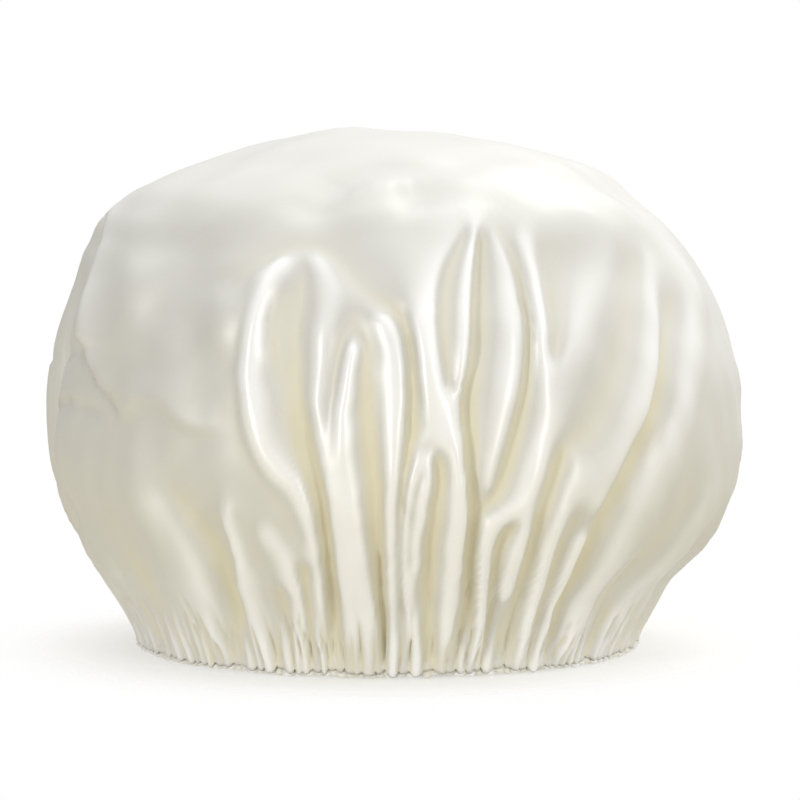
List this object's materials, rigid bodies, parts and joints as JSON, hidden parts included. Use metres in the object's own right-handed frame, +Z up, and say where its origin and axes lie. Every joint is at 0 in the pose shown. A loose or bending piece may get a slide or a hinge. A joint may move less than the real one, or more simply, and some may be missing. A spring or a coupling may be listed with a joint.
{
  "type": "shower cap",
  "caption": "Puffed ivory satin shower cap with a waterproof lining, gathered into a sewn casing over an elastic band, standing upright on its hem.",
  "frame": {"origin": "on the floor, at the middle of the hem that the cap stands on", "axes": "+Z up through the crown, -Y towards the front of the picture, +X to its right"},
  "size_m": [0.2457, 0.2532, 0.182],
  "materials": {
    "satin": "ivory satin with a soft sheen",
    "lining_film": "milky waterproof film",
    "elastic": "ribbed white elastic",
    "thread": "ivory sewing thread"
  },
  "bodies": {
    "root": {"outer_shell": "satin", "waterproof_lining": "lining_film", "hem_casing": "satin", "elastic_band": "elastic", "elastic_lap_stitch": "thread", "casing_needle_thread": "thread", "casing_bobbin_thread": "thread"}
  },
  "joints": []
}
